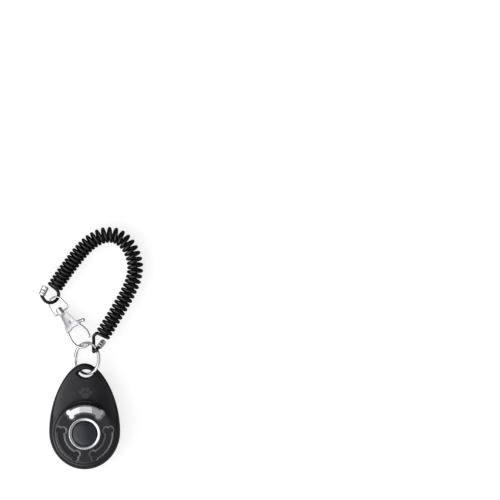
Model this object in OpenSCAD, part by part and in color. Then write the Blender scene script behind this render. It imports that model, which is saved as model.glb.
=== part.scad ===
// Clicker trainer for dogs: an egg-shaped clicker on a split ring, with a coiled
// wrist strap whose far end is clipped back on the ring by a swivel snap hook.
// It lies on its back. Origin: on the table under the middle of the case.
// +Y runs to the lanyard hole, +Z is up, the way the button faces.

/* [Case] */
// Half of the case's greatest width
case_half_w = 21.7; // [20:0.1:24]
// From the widest line down to the lower end
case_low = 23; // [21:0.5:26]
// From the widest line up to the tip at the lanyard hole
case_up = 41.8; // [40:0.2:46]
// Height of the parting line between the two shells
parting_z = 7; // [6:0.5:8]
// Height of the flat top round the button
top_z = 15.5; // [14.5:0.5:18]
// Wall of the two shells
wall = 1.7; // [1.4:0.1:2.2]

/* [Button] */
// Radius of the push button's cap
button_r = 7.2; // [6.5:0.1:7.3]
// How far the button travels when it is pressed
button_travel = 1.6; // [1:0.1:2]
// Outer radius of the bright ring round the button
bezel_r = 9.7; // [9:0.1:10.5]

/* [Lanyard hole] */
// Half of the hole's width, tip to tip
hole_half_w = 4.6; // [4.2:0.1:5]
// Half of the hole's height
hole_half_h = 2.45; // [2.3:0.05:2.7]

/* [Split ring] */
// Mean radius of the split ring
ring_r = 9.5; // [9:0.1:10]
// Width of the ring's wire, across the ring
ring_wire = 1.5; // [1.2:0.1:1.6]
// Tilt of the ring as it lies: left side low, right side high
ring_tilt = 40; // [36:1:44]

/* [Strap] */
// Diameter of the cord
cord_d = 2; // [1.6:0.1:2]
// Outer diameter of the coil
coil_d = 10; // [9:0.5:10]

/* [Hook] */
// Turn of the hook on the table, from the case's own axis
hook_turn = 36; // [34:1:38]
// Rise of the hook from its bail to its nose
hook_rise = 4.6; // [4:0.1:5]
// Thickness of the hook's body
hook_t = 4.2; // [3.8:0.1:4.4]
// Diameter of the hook's arm
arm_d = 1.6; // [1.5:0.1:1.9]
// Diameter of the bail's wire
bail_d = 1; // [0.8:0.1:1]

/* [Hidden] */
$fn = 64;
e = 0.1;

// Case: the widest line, the button's axis and the levels of the dome
egg_y = -9.5;
axis_x = 0.2;
axis_y = -10.5;
rest_w = 12;
rest_low = 13.5;
rest_up = 17;
dome_z = 12.9;
dome_w = 18.4;
dome_up = 18.9;
plateau_r = 19.2;
ceiling_z = top_z - 1.8;
cavity_r = 17.2;
cavity_up = 28.5;
egg_slim = 0.14;
tip_edge = 0.11;
egg_sides = 48;

// Slots round the button
slot_in = 13;
slot_out = 16.5;
slot_half_angle = 38;
lobe_r = 1.65;
slot_floor_z = top_z - 1.2;

// Click plate and tongue
plate_t = 0.3;
band_z = 14.2;
tongue_z = 9.7;
tongue_t = 0.3;
bend_y = 2;
tongue_end_y = -17;
tongue_half_w = 6;
stem_r = 1.5;
stem_gap = 0.1;

// Screws: three in the case, two at the root of the click plate
boss_r = 2.3;
case_screw_r = 0.95;
boss_ring_r = 16;
boss_angles = [-65, 65, 180];
plate_screw_x = 3;
plate_screw_y = 4;

// Lanyard hole and split ring
hole_x = 0.8;
hole_y = 26.15;
ring_centre = [1.5, 35.35, 7.2];
ring_thick = 1.8;

// Hook: the middle of the swivel barrel, and the gate's pivot in the hook's own frame
hook_at = [-15.2, 64.3, 3.35];
barrel_r = 1.9;
pivot = [1.4, -9.4];
gate_t = 1.9;
gate_gap = 0.06;
pin_r = 0.6;
rivet_r = 0.95;

// Route of the coil's middle line on the table, from the bail's end to the ring's end
coil_route = [[-18.5, 78.5], [-13.5, 86], [-8, 93.5], [-2, 101], [4.5, 107], [12, 110.5],
              [19.5, 110], [25.5, 105.5], [29.2, 99], [30.8, 91.5], [29.8, 84], [27.1, 77],
              [23.4, 70], [19.3, 63], [15, 56], [10.5, 49]];
// Route of the cord's loop through the bail, from the coil to inside its ferrule
bail_loop_route = [[-17.3, 77.2, 1.1], [-16.2, 75.2, 1.1], [-16.3, 73, 1.1], [-17.4, 71, 1.3],
                   [-19.4, 69.6, 3.1], [-21.8, 69.3, 4.7], [-24.1, 70.3, 4.8],
                   [-25.7, 72.4, 4.2], [-26.3, 74, 3.9], [-25, 76.8, 3.9]];
// Route of the cord's loop through the split ring, from the coil to inside its ferrule
ring_loop_route = [[6.3, 51.2, 5.2], [5.6, 49, 5.6], [5.5, 46.5, 6.2], [5.5, 44, 7],
                   [5.4, 41.8, 8], [5.4, 40.2, 9.7], [5.6, 39.5, 11.7], [6.2, 39.7, 13.5],
                   [7.4, 40.8, 14.5], [8.8, 42.2, 13.7], [10.2, 43.9, 12.2]];
ferrule_l = 5.7;
bail_ferrule_r = 2.1;
ring_ferrule_r = 1.75;

// Middle line of the hook's arm, from the body round to the nose, in the hook's frame
arm_route = [[-3.2, -11.5, 0], [-4.1, -14.6, 0], [-4.9, -18.6, 0], [-4.9, -21.2, 0],
             [-4.2, -23.6, 0], [-2.5, -25.7, 0], [-0.1, -26.8, 0], [2, -26.7, 0], [3.3, -25.7, 0]];
// Middle line of the bail's wire, in the hook's frame
bail_route = [[-1.4, -1.1, 0], [-3.2, -1.2, 0], [-4.2, -0.5, 0], [-4.3, 1, 0], [-4, 4.5, 0],
              [-3.2, 7.2, 0], [-1.4, 8.8, 0], [0.8, 9.2, 0], [3, 8.6, 0], [4.5, 6.8, 0],
              [5.1, 4, 0], [5.5, 1, 0], [5.4, -0.5, 0], [4.4, -1.2, 0], [1.4, -1.1, 0]];

// ---- Helpers -------------------------------------------------------------

function mix(a, b, t) = a + (b - a) * t;
function unit(v) = v / norm(v);
function last(v) = v[len(v) - 1];

// One egg-shaped ring of points: half-width w, reach low and up from the widest line
function egg_ring(w, low, up, z) = [
    for (i = [0 : egg_sides - 1])
        let (a = 360 * i / egg_sides, s = sin(a))
        [w * cos(a) * (s > 0 ? 1 - egg_slim * s * s : 1),
         egg_y + (s > 0 ? up : low) * s, z]];

// Outer size of the case at a height: [half-width, low, up]
function back_size(z) =
    let (t = max(z, 0) / parting_z, s = sqrt(1 - pow(1 - t, 2)))
    [mix(rest_w, case_half_w, s), mix(rest_low, case_low, s),
     mix(rest_up, case_up, pow(min(t / (1 - tip_edge), 1), 0.9))];
function front_size(z) =
    let (t = min((z - parting_z) / (dome_z - parting_z), 1), s = 1 - sqrt(1 - t * t),
         u = max(t - tip_edge, 0) / (1 - tip_edge), c = pow((1 - cos(180 * u)) / 2, 1.3))
    [mix(case_half_w, dome_w, s), mix(case_low, dome_w + 1.2, s), mix(case_up, dome_up, c)];

function back_ring(z) = let (d = back_size(z)) egg_ring(d[0], d[1], d[2], z);
function front_ring(z) = let (d = front_size(z)) egg_ring(d[0], d[1], d[2], z);
function back_cavity_ring(z) = let (d = back_size(z - wall))
    egg_ring(d[0] - wall, d[1] - wall, min(d[2] - wall, cavity_up), z);
function front_cavity_ring(z) = let (d = front_size(z + wall))
    egg_ring(d[0] - wall, d[1] - wall, min(d[2] - wall, cavity_up), z);

// A closed solid through a stack of rings that all have the same number of points
module loft(rings) {
    n = len(rings[0]);
    top = (len(rings) - 1) * n;
    sides = [for (k = [0 : len(rings) - 2]) for (i = [0 : n - 1])
        let (j = (i + 1) % n, a = k * n)
        each [[a + i, a + n + i, a + n + j], [a + i, a + n + j, a + j]]];
    polyhedron([for (r = rings) each r],
               concat([[for (i = [0 : n - 1]) i]], sides,
                      [[for (i = [n - 1 : -1 : 0]) top + i]]));
}

// Frame of a route at point i: direction, and the two directions across it
function route_dir(p, i) = unit(p[min(i + 1, len(p) - 1)] - p[max(i - 1, 0)]);
function route_ring(p, i, r, n, up) =
    let (t = route_dir(p, i), s = unit(cross(t, up)), u = cross(s, t))
    [for (k = [0 : n - 1]) let (a = -360 * k / n) p[i] + r * (cos(a) * s + sin(a) * u)];

// A round bar along a route
module tube(p, d, n = 8, up = [0, 0, 1])
    loft([for (i = [0 : len(p) - 1]) route_ring(p, i, d / 2, n, up)]);

// A smooth curve through a flat route, with one point more between each two
function curve_point(p, k, t) =
    let (a = p[max(k - 1, 0)], b = p[k], c = p[k + 1], d = p[min(k + 2, len(p) - 1)])
    0.5 * (2 * b + (c - a) * t + (2 * a - 5 * b + 4 * c - d) * t * t
           + (3 * b - a - 3 * c + d) * t * t * t);
function smooth_route(p) = concat(
    [for (k = [0 : len(p) - 2]) each [p[k], curve_point(p, k, 0.5)]], [last(p)]);

// Places its children in the hook's frame, or in the split ring's frame
module in_hook() translate(hook_at) rotate([-hook_rise, 0, hook_turn]) children();
module in_ring() translate(ring_centre) rotate([0, -ring_tilt, 0]) children();
module at_button() translate([axis_x, axis_y, 0]) children();

// A bone-shaped slot about the button, in the middle of direction a from +Y
module slot_shape(a, grow = 0) {
    rotate(-a) {
        intersection() {
            difference() {
                circle(slot_out + grow);
                circle(slot_in - grow);
            }
            polygon([[0, 0], for (b = [-slot_half_angle : 19 : slot_half_angle])
                     30 * [sin(b), cos(b)]]);
        }
        for (s = [-1, 1], r = [slot_in + 0.4, slot_out - 0.35])
            rotate(s * slot_half_angle) translate([0, r]) circle(lobe_r + grow);
    }
}

// The eye-shaped lanyard hole, wider towards both faces of the case
module lanyard_hole() {
    lens_r = (pow(hole_half_w, 2) + pow(hole_half_h, 2)) / (2 * hole_half_h);
    for (m = [0, 1])
        translate([hole_x, hole_y, parting_z]) mirror([0, 0, m])
            linear_extrude(8, scale = 2.3) intersection() {
                for_lens(lens_r, -1);
                for_lens(lens_r, 1);
            }
}
module for_lens(r, s) translate([0, s * (r - hole_half_h)]) circle(r, $fn = 96);

module at_bosses() at_button() for (a = boss_angles)
    rotate(-a) translate([0, boss_ring_r]) children();
module at_plate_screws() for (s = [-1, 1])
    translate([s * plate_screw_x, plate_screw_y]) children();

// ---- Case ----------------------------------------------------------------

module front_shell() color("#1b1c1f") difference() {
    union() {
        difference() {
            union() {
                loft([for (k = [0 : 8]) front_ring(mix(parting_z, dome_z, k / 8))]);
                at_button() translate([0, 0, dome_z - 3]) rotate_extrude()
                    polygon([[0, 0], [plateau_r, 0], [plateau_r, 3.5], [plateau_r - 0.4, 4.5],
                             [plateau_r - 1.3, 5.3], [plateau_r - 2.6, top_z - dome_z + 3],
                             [0, top_z - dome_z + 3]]);
            }
            loft([for (z = [parting_z - e, 8.5, 10, 11.3]) front_cavity_ring(z)]);
            at_button() translate([0, 0, 11.2]) cylinder(h = ceiling_z - 11.2, r = cavity_r);
        }
        // Sleeve that guides the button's flange, and the posts for the case screws
        at_button() translate([0, 0, 11]) difference() {
            cylinder(h = ceiling_z - 11 + e, r = 10);
            translate([0, 0, -e]) cylinder(h = 4, r = 8.8);
        }
        at_bosses() translate([0, 0, parting_z]) cylinder(h = ceiling_z - parting_z + e, r = boss_r);
    }
    at_button() translate([0, 0, ceiling_z - e]) cylinder(h = 4, r = button_r + 0.3);
    at_button() translate([0, 0, top_z - 0.8]) cylinder(h = 2, r = bezel_r);
    at_bosses() translate([0, 0, parting_z - e]) cylinder(h = 5, r = case_screw_r);
    // The upper slot goes through, over a pocket for the plate; the lower two are recesses
    at_button() translate([0, 0, ceiling_z - 1]) linear_extrude(5) slot_shape(0);
    at_button() translate([0, 0, ceiling_z - 1]) linear_extrude(band_z + plate_t + e - ceiling_z + 1)
        slot_shape(0, 0.8);
    for (a = [-120, 120])
        at_button() translate([0, 0, slot_floor_z]) linear_extrude(2) slot_shape(a);
    lanyard_hole();
}

module back_shell() color("#17181a") difference() {
    union() {
        difference() {
            loft([for (k = [0 : 6]) back_ring(parting_z * pow(k / 6, 1.6))]);
            loft([for (z = [wall, 2.6, 4.4, parting_z + e]) back_cavity_ring(z)]);
        }
        at_bosses() translate([0, 0, wall - e]) cylinder(h = parting_z - wall - 0.05 + e, r = boss_r);
        // Pedestal that carries the root of the click plate
        translate([-5, 2.3, wall - e]) cube([10, 3.6, tongue_z - wall + e]);
    }
    at_bosses() translate([0, 0, -e]) cylinder(h = 2.3 + e, r = 1.9);
    at_bosses() translate([0, 0, -e]) cylinder(h = parting_z + 1, r = case_screw_r + 0.15);
    at_plate_screws() translate([0, 0, 4]) cylinder(h = 6, r = 0.8);
    lanyard_hole();
}

module bezel_ring() color("#c9ccd1") at_button() translate([0, 0, top_z - 0.8]) rotate_extrude()
    polygon([[bezel_r - 1.75, 0], [bezel_r, 0], [bezel_r, 1], [bezel_r - 0.25, 1.45],
             [bezel_r - 0.8, 1.7], [bezel_r - 1.3, 1.6], [bezel_r - 1.75, 1.2]]);

module button() color("#3c4049") at_button() {
    dome_h = 1.3;
    dome_r = (button_r * button_r + dome_h * dome_h) / (2 * dome_h);
    translate([0, 0, 12.5]) cylinder(h = 4.2, r = button_r);
    translate([0, 0, 12.45]) cylinder(h = 1.2, r = 8.6);
    intersection() {
        translate([0, 0, 16.7 + dome_h - dome_r]) sphere(dome_r, $fn = 128);
        translate([0, 0, 16]) cylinder(h = 4, r = button_r);
    }
    // Stem with a round tip, just clear of the tongue
    translate([0, 0, tongue_z + tongue_t + stem_gap + stem_r]) {
        cylinder(h = 12.5 - tongue_z - tongue_t - stem_gap - stem_r + e, r = stem_r);
        sphere(stem_r);
    }
}

module click_plate() color("#d5d8dc") {
    // The part that shows in the upper slot
    at_button() translate([0, 0, band_z]) linear_extrude(plate_t) slot_shape(0, 0.6);
    // Web down to the root, which two screws hold on the pedestal
    translate([-5, 5.4, tongue_z]) cube([10, plate_t, band_z - tongue_z + e]);
    difference() {
        translate([-5, bend_y + 0.05, tongue_z]) cube([10, 5.4 - bend_y, tongue_t]);
        at_plate_screws() translate([0, 0, tongue_z - 1]) cylinder(h = 3, r = 0.8);
    }
}

module click_tongue() color("#c4c8cd") translate([-tongue_half_w, tongue_end_y, tongue_z])
    cube([2 * tongue_half_w, bend_y - tongue_end_y, tongue_t]);

module plate_screws() color("#b0b3b8") at_plate_screws() {
    translate([0, 0, 4.2]) cylinder(h = tongue_z - 4, r = 0.8);
    translate([0, 0, tongue_z + tongue_t]) difference() {
        cylinder(h = 0.9, r = 1.3);
        translate([-1.5, -0.15, 0.5]) cube([3, 0.3, 1]);
    }
}

module case_screws() color("#8f9297") at_bosses() {
    translate([0, 0, 1]) difference() {
        cylinder(h = 1.3, r = 1.75);
        for (a = [0, 90]) rotate(a) translate([-1, -0.2, -e]) cube([2, 0.4, 0.7]);
    }
    translate([0, 0, 2.2]) cylinder(h = 9.2, r = case_screw_r);
}

// ---- Split ring and strap ------------------------------------------------

module split_ring() color("#c9ccd1") in_ring() rotate_extrude() {
    w = ring_wire / 2;
    h = ring_thick / 2;
    polygon([for (q = [[w - 0.35, -h], [w, -h + 0.35], [w, -0.2], [w - 0.25, 0], [w, 0.2],
                       [w, h - 0.35], [w - 0.35, h], [0.35 - w, h], [-w, h - 0.35], [-w, 0.2],
                       [0.25 - w, 0], [-w, -0.2], [-w, 0.35 - h], [0.35 - w, -h]])
             q + [ring_r, 0]]);
}

// Envelope of the coil: its cord winds inside this outer shape
module cord_coil() color("#141416")
    tube([for (q = smooth_route(coil_route)) [q[0], q[1], coil_d / 2]], coil_d, 12);

module cord_loop_bail() color("#141416") tube(bail_loop_route, cord_d);
module cord_loop_ring() color("#141416") tube(ring_loop_route, cord_d, up = [1, 0, 0.2]);

// Crimped sleeve over the end of a loop, from a point along a direction
module ferrule(at, dir, r) {
    length = norm(dir);
    translate(at) rotate([0, acos(dir[2] / length), atan2(dir[1], dir[0])]) rotate_extrude()
        polygon([[cord_d / 2, 0], [r - 0.3, 0], [r, 0.4], [r, 1.2], [r - 0.25, 1.6],
                 [r - 0.25, 2.2], [r, 2.6], [r, ferrule_l - 0.4], [r - 0.4, ferrule_l],
                 [cord_d / 2, ferrule_l]]);
}
module ferrule_bail() color("#d5d8dc")
    ferrule(bail_loop_route[8], last(bail_loop_route) - bail_loop_route[8], bail_ferrule_r);
module ferrule_ring() color("#d5d8dc")
    ferrule(ring_loop_route[9], last(ring_loop_route) - ring_loop_route[9], ring_ferrule_r);

// ---- Swivel snap hook ----------------------------------------------------

module swivel_bail() color("#c9ccd1") in_hook() tube(bail_route, bail_d);

module swivel_barrel() color("#d5d8dc") in_hook() difference() {
    translate([0, -2.3, 0]) rotate([-90, 0, 0]) rotate_extrude()
        polygon([[0, 0], [barrel_r - 0.3, 0], [barrel_r, 0.3], [barrel_r, 4], [barrel_r - 0.3, 4.3],
                 [0, 4.3]]);
    translate([0, -1.1, 0]) rotate([0, 90, 0]) cylinder(h = 8, r = bail_d / 2, center = true);
    translate([0, -2.4, 0]) rotate([-90, 0, 0]) cylinder(h = 0.9, r = rivet_r);
}

module swivel_rivet() color("#b0b3b8") in_hook() rotate([90, 0, 0]) {
    translate([0, 0, 1.6]) cylinder(h = 2.9, r = rivet_r);
    translate([0, 0, 4.35]) cylinder(h = 0.6, r = 1.4);
}

module hook_body() color("#c9ccd1") in_hook() difference() {
    union() {
        linear_extrude(hook_t, center = true)
            polygon([[-1.6, -2.45], [2.7, -2.45], [3, -2.8], [4.3, -9.6], [5.3, -13.2],
                     [4.9, -13.9], [3.6, -13.6], [1.9, -13.2], [-0.4, -13.3], [-2.2, -14],
                     [-4.4, -13.6], [-3.4, -10.8], [-1.9, -2.8]]);
        tube(arm_route, arm_d, 12);
    }
    // Collar bore and the rivet's pocket
    translate([0, -2, 0]) rotate([90, 0, 0]) cylinder(h = 3, r = rivet_r + 0.06);
    translate([0, -4.25, 0]) rotate([90, 0, 0]) cylinder(h = 0.85, r = 1.47);
    // Slot for the gate, the spring's pocket and the pin's hole
    translate([-0.8, -16, -gate_t / 2 - gate_gap]) cube([9, 8.7, gate_t + 2 * gate_gap]);
    translate([0.1, -8, 0]) rotate([-90, 0, 0]) cylinder(h = 2.6, r = 0.85);
    translate([pivot[0], pivot[1], 0]) cylinder(h = 6, r = pin_r, center = true);
    for (s = [-1, 1]) translate([pivot[0], pivot[1], s * hook_t / 2])
        cylinder(h = 0.5, r = 1, center = true);
}

// Gate, with its hub, its flat for the spring and its thumb knob
module hook_gate() color("#c9ccd1") in_hook() difference() {
    union() {
        translate([pivot[0], pivot[1], -gate_t / 2]) cylinder(h = gate_t, r = 1.75);
        linear_extrude(gate_t, center = true)
            polygon([[-0.35, -9.4], [-0.35, -7.75], [1.4, -7.75], [3.1, -9], [4.6, -10.6],
                     [5.8, -11.4], [6, -13], [5.7, -14.2], [6.8, -17.8], [6.95, -20.5],
                     [6.4, -22.8], [5.5, -24.4], [4.5, -23.9], [5.1, -22], [5.3, -19.8],
                     [5, -17.6], [3.9, -14.2], [2.4, -11.4], [1, -11.1]]);
        translate([5.2, -11.8, 0]) rotate([0, 90, -20]) {
            cylinder(h = 3.4, r = 0.95);
            translate([0, 0, 3.2]) sphere(1.15);
        }
    }
    translate([pivot[0], pivot[1], 0]) cylinder(h = 4, r = pin_r + 0.05, center = true);
}

module gate_pin() color("#8f9297") in_hook() translate([pivot[0], pivot[1], 0])
    cylinder(h = hook_t - 0.5, r = pin_r, center = true);

// Small compression spring between the body and the gate's flat
module gate_spring() color("#b0b3b8") in_hook() translate([0.1, -7.4, 0]) rotate([-90, 0, 0])
    difference() {
        cylinder(h = 1.9, r = 0.7);
        translate([0, 0, -e]) cylinder(h = 3, r = 0.4);
    }

front_shell();
back_shell();
button();
bezel_ring();
click_plate();
click_tongue();
plate_screws();
case_screws();
split_ring();
cord_coil();
cord_loop_ring();
cord_loop_bail();
ferrule_ring();
ferrule_bail();
swivel_bail();
swivel_barrel();
swivel_rivet();
hook_body();
hook_gate();
gate_pin();
gate_spring();
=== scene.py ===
# %% [markdown]
# # A clicker trainer on a coiled wrist strap
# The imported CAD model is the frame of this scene. It says where every piece sits,
# in metres, with +Z up and +Y from the case to the strap. Each piece below is built
# around it: a shape that is right keeps its CAD mesh and gets a finish, and one that
# needs more form than CAD gives is modelled again and stands for its node.

# %% Load the frame
import math

import bmesh
import bpy
from mathutils import Matrix, Vector


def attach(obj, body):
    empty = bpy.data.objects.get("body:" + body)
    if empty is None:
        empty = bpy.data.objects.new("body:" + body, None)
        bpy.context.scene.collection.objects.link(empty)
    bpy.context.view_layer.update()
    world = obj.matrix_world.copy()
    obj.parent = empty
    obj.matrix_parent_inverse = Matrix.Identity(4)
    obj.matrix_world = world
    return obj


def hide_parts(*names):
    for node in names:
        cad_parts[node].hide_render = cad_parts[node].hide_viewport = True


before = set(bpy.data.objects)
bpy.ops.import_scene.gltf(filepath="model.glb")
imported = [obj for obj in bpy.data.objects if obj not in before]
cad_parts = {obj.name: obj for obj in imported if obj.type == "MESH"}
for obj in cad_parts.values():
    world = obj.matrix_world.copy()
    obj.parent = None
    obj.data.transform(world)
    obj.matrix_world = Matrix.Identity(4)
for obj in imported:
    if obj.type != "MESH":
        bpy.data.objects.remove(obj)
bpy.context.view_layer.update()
scene = bpy.context.scene
MM = 0.001

# %% [markdown]
# ## Camera
# The clicker lies flat, so the natural view is from straight above. A long lens far
# away hides the sides of the button and of the case, as a catalogue picture does.
# `view_width` is the width of table in the frame. The clicker fills its lower left.

# %% Place the camera
view_width = 0.306
view_middle = Vector((0.101, 0.1015, 0))
lens = 500
sensor = 36
camera_data = bpy.data.cameras.new("catalogue_camera")
camera_data.lens = lens
camera_data.sensor_width = sensor
camera_data.clip_end = 50
camera = bpy.data.objects.new("catalogue_camera", camera_data)
camera.location = view_middle + Vector((0, 0, view_width * lens / sensor))
scene.collection.objects.link(camera)
scene.camera = camera
print("camera height, m:", round(camera.location.z, 2))

# %% [markdown]
# ## Shader groups
# Real finishes share a few faults: a fine grain from the mould, soft clouds of
# handling, hairline scratches, and edges rubbed brighter than the rest. Each is made
# once as a node group, and every material asks it for its own amount. All of them
# read Object coordinates, which here are metres on the real object, so a grain of
# five per millimetre is that size on every piece.

# %% Node helpers
def add_node(tree, kind, inputs=None, **settings):
    """Adds a shader node, sets its properties, and fills inputs with values or links."""
    made = tree.nodes.new("ShaderNode" + kind)
    for name, value in settings.items():
        setattr(made, name, value)
    for key, value in (inputs or {}).items():
        if isinstance(value, bpy.types.NodeSocket):
            tree.links.new(value, made.inputs[key])
        else:
            made.inputs[key].default_value = value
    return made


def start_group(name, inputs, outputs):
    """A node group with float sockets: returns its tree, input node and output node."""
    tree = bpy.data.node_groups.new(name, "ShaderNodeTree")
    for label, value in inputs.items():
        tree.interface.new_socket(label, in_out="INPUT", socket_type="NodeSocketFloat").default_value = value
    for label in outputs:
        tree.interface.new_socket(label, in_out="OUTPUT", socket_type="NodeSocketFloat")
    return tree, tree.nodes.new("NodeGroupInput"), tree.nodes.new("NodeGroupOutput")


def multiply(tree, a, b):
    """The product of two sockets or numbers."""
    return add_node(tree, "Math", {0: a, 1: b}, operation="MULTIPLY").outputs[0]


def remap(tree, value, low, high, to_low, to_high):
    """Moves a value from one range to another, and clamps it there."""
    made = add_node(tree, "MapRange", {"Value": value, "From Min": low, "From Max": high,
                                       "To Min": to_low, "To Max": to_high})
    return made.outputs[0]


# %% Grain and clouds
grain_group, group_in, group_out = start_group(
    "moulded_grain", {"Grains per mm": 5, "Clouds per mm": 0.15}, ["Grain", "Cloud"])
coords = add_node(grain_group, "TexCoord").outputs["Object"]
for label, rate, detail in (("Grain", "Grains per mm", 2), ("Cloud", "Clouds per mm", 5)):
    noise_size = multiply(grain_group, group_in.outputs[rate], 1 / MM)
    noise = add_node(grain_group, "TexNoise", {"Vector": coords, "Scale": noise_size, "Detail": detail})
    grain_group.links.new(remap(grain_group, noise.outputs[0], 0.3, 0.7, 0, 1), group_out.inputs[label])

# %% Hairline scratches
scratch_group, group_in, group_out = start_group(
    "hairline_scratches", {"Lines per mm": 4, "Share": 0.2}, ["Scratch"])
coords = add_node(scratch_group, "TexCoord").outputs["Object"]
scratch_scale = multiply(scratch_group, group_in.outputs["Lines per mm"], 1 / MM)
deepest = None
for turn, stretch in ((0.4, (1, 0.04, 0.3)), (1.9, (1, 0.06, 0.3)), (2.7, (0.05, 1, 0.4))):
    turned = add_node(scratch_group, "Mapping", {"Vector": coords, "Rotation": (0.2, 0.1, turn),
                                                 "Scale": stretch})
    noise = add_node(scratch_group, "TexNoise", {"Vector": turned.outputs[0], "Scale": scratch_scale,
                                                 "Detail": 1})
    line = remap(scratch_group, noise.outputs[0], 0.68, 0.78, 0, 1)
    if deepest is None:
        deepest = line
    else:
        deepest = add_node(scratch_group, "Math", {0: deepest, 1: line}, operation="MAXIMUM").outputs[0]
scratch_group.links.new(multiply(scratch_group, deepest, group_in.outputs["Share"]),
                        group_out.inputs["Scratch"])

# %% Rubbed edges
# A Bevel node gives the normal that a rounded edge would have. Where it differs from
# the true normal, there is an edge.
edge_group, group_in, group_out = start_group("rubbed_edges", {"Width mm": 0.3}, ["Edge"])
edge_width = multiply(edge_group, group_in.outputs["Width mm"], MM)
rounded = add_node(edge_group, "Bevel", {"Radius": edge_width}, samples=4)
true_normal = add_node(edge_group, "NewGeometry").outputs["Normal"]
likeness = add_node(edge_group, "VectorMath", {0: rounded.outputs[0], 1: true_normal},
                    operation="DOT_PRODUCT").outputs["Value"]
edge_mask = remap(edge_group, likeness, 0.99, 0.8, 0, 1)
coords = add_node(edge_group, "TexCoord").outputs["Object"]
patchy = add_node(edge_group, "TexNoise", {"Vector": coords, "Scale": 1.2 / MM, "Detail": 3})
edge_group.links.new(multiply(edge_group, edge_mask,
                              remap(edge_group, patchy.outputs[0], 0.35, 0.6, 0.25, 1)),
                     group_out.inputs["Edge"])
print("shader groups:", [group.name for group in bpy.data.node_groups])

# %% [markdown]
# ## Materials
# There are two families. Plastics have a dark colour with a grain in the bump, and
# edges a little lighter. They also carry painted light: a face attribute paints a
# highlight in the edge colour on some faces and painted shade, near black, on others.
# Metals have their sheen from the metallic shader, and differ in roughness and in how
# scratched they are. One function makes each family, so a new finish is one line of
# numbers.

# %% Material functions
def use_group(tree, group, **values):
    """Places a shader group in a material, with values for its inputs."""
    made = add_node(tree, "Group")
    made.node_tree = group
    for label, value in values.items():
        made.inputs[label.replace("_", " ")].default_value = value
    return made.outputs


def start_material(name):
    """A material whose Principled shader is ready: returns the material, tree and shader."""
    material = bpy.data.materials.new(name)
    material.use_nodes = True
    tree = material.node_tree
    return material, tree, tree.nodes["Principled BSDF"]


def mix_colours(tree, share, first, second):
    """A colour between two, by a share from 0 to 1. Either may be a socket."""
    made = tree.nodes.new("ShaderNodeMix")
    made.data_type = "RGBA"
    for socket, value in ((made.inputs["Factor"], share), (made.inputs[6], first), (made.inputs[7], second)):
        if isinstance(value, bpy.types.NodeSocket):
            tree.links.new(value, socket)
        else:
            socket.default_value = value if isinstance(value, float) else (*value, 1)
    return made.outputs[2]


def set_bump(tree, shader, height, depth_mm):
    """Feeds a height in 0..1 to the shader's normal, as deep as depth_mm."""
    bump = add_node(tree, "Bump", {"Height": height, "Distance": depth_mm * MM, "Strength": 1.0})
    tree.links.new(bump.outputs[0], shader.inputs["Normal"])


def plastic(name, dark, light, edge, rough, grain=(6, 0.004), edge_mm=0.3, specular=0.5):
    """A moulded plastic. dark and light are its clouds' colours, edge is its rubbed edge's, and also a
    painted highlight where a face attribute is positive; where it is negative, the colour is painted shade,
    near black.
    """
    material, tree, shader = start_material(name)
    look = use_group(tree, grain_group, Grains_per_mm=grain[0])
    scratch = use_group(tree, scratch_group, Lines_per_mm=2.5, Share=0.35)["Scratch"]
    rubbed = use_group(tree, edge_group, Width_mm=edge_mm)["Edge"]
    body = mix_colours(tree, look["Cloud"], dark, light)
    surface_colour = mix_colours(tree, multiply(tree, rubbed, 0.6), body, edge)
    # Painted light: a face attribute paints a highlight in the edge colour where it is positive, and painted
    # shade where it is negative.
    painted_light_and_shade = add_node(tree, "Attribute", attribute_name="painted_light_and_shade").outputs["Fac"]
    surface_colour = mix_colours(tree, remap(tree, painted_light_and_shade, 0, 1, 0, 1), surface_colour, edge)
    # The near-black colour here is painted shade in recesses.
    surface_colour = mix_colours(tree, remap(tree, painted_light_and_shade, 0, -1, 0, 1), surface_colour, (0.001, 0.001, 0.001))
    tree.links.new(surface_colour, shader.inputs["Base Color"])
    shine = remap(tree, look["Cloud"], 0, 1, rough[0], rough[1])
    rougher = add_node(tree, "Math", {0: scratch, 1: 0.25, 2: shine}, operation="MULTIPLY_ADD")
    tree.links.new(rougher.outputs[0], shader.inputs["Roughness"])
    shader.inputs["Specular IOR Level"].default_value = specular
    surface = add_node(tree, "Math", {0: scratch, 1: -0.8, 2: look["Grain"]}, operation="MULTIPLY_ADD")
    set_bump(tree, shader, surface.outputs[0], grain[1])
    return material


def metal(name, clean, dull, rough, scratched, lines=3.5, ripple=(1.5, 0.001), edge_mm=0.15):
    """A bright metal. rough is its least and greatest roughness, ripple its surface's waves."""
    material, tree, shader = start_material(name)
    look = use_group(tree, grain_group, Grains_per_mm=ripple[0], Clouds_per_mm=0.25)
    scratch = use_group(tree, scratch_group, Lines_per_mm=lines, Share=scratched)["Scratch"]
    rubbed = use_group(tree, edge_group, Width_mm=edge_mm)["Edge"]
    body = mix_colours(tree, look["Cloud"], clean, dull)
    surface_colour = mix_colours(tree, multiply(tree, rubbed, 0.5), body, [min(1, c * 1.08) for c in clean])
    tree.links.new(surface_colour, shader.inputs["Base Color"])
    shine = remap(tree, look["Cloud"], 0, 1, rough[0], rough[1])
    rougher = add_node(tree, "Math", {0: scratch, 1: 0.3, 2: shine}, operation="MULTIPLY_ADD")
    tree.links.new(rougher.outputs[0], shader.inputs["Roughness"])
    shader.inputs["Metallic"].default_value = 1
    surface = add_node(tree, "Math", {0: scratch, 1: -0.5, 2: look["Grain"]}, operation="MULTIPLY_ADD")
    set_bump(tree, shader, surface.outputs[0], ripple[1])
    return material
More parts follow.
